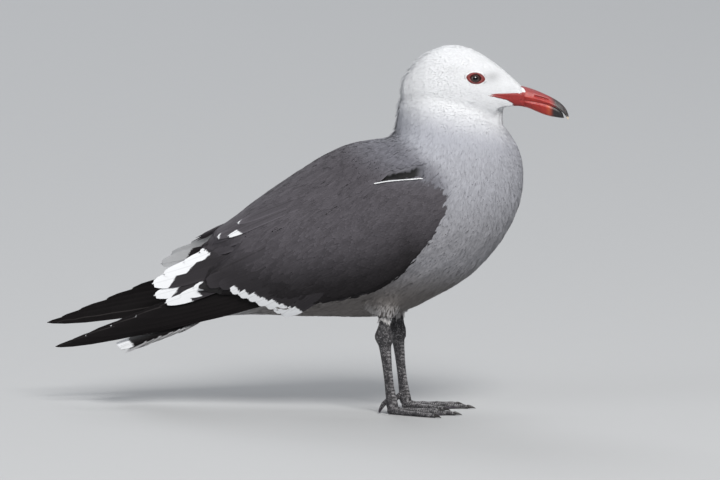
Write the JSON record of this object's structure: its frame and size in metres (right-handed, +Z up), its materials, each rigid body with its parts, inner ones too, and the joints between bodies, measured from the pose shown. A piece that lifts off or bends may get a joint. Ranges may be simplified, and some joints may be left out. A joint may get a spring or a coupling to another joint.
{
  "type": "heermann's gull",
  "caption": "Life-size still model of an adult Heermann's gull standing at rest: white head, grey body, dark folded wings, red bill with a dark tip and webbed dark feet.",
  "frame": {"origin": "middle of the bird's box, on the floor between its feet and under its body", "axes": "+X the way the bill points, +Y the bird's left side, +Z up"},
  "size_m": [0.4096, 0.1088, 0.2837],
  "materials": {
    "plumage_white": "matte",
    "plumage_grey": "matte",
    "plumage_wing": "matte",
    "plumage_black": "matte",
    "bill": "satin",
    "eye": "gloss",
    "leg_skin": "satin",
    "claw": "satin"
  },
  "bodies": {
    "root": {"head": "plumage_white", "neck": "plumage_white", "breast": "plumage_grey", "trunk": "plumage_grey", "rump": "plumage_grey", "tail": "plumage_black", "upper_bill": "bill", "lower_bill": "bill", "eye_right": "eye", "wing_right_scapulars": "plumage_wing", "wing_right_coverts": "plumage_wing", "wing_right_tertials": "plumage_wing", "wing_right_primaries": "plumage_black", "thigh_right": "plumage_grey", "shank_right": "leg_skin", "tarsus_right": "leg_skin", "foot_right": "leg_skin", "hallux_right": "leg_skin", "claw_right_outer": "claw", "claw_right_middle": "claw", "claw_right_inner": "claw", "eye_left": "eye", "wing_left_scapulars": "plumage_wing", "wing_left_coverts": "plumage_wing", "wing_left_tertials": "plumage_wing", "wing_left_primaries": "plumage_black", "thigh_left": "plumage_grey", "shank_left": "leg_skin", "tarsus_left": "leg_skin", "foot_left": "leg_skin", "hallux_left": "leg_skin", "claw_left_outer": "claw", "claw_left_middle": "claw", "claw_left_inner": "claw"}
  },
  "joints": []
}
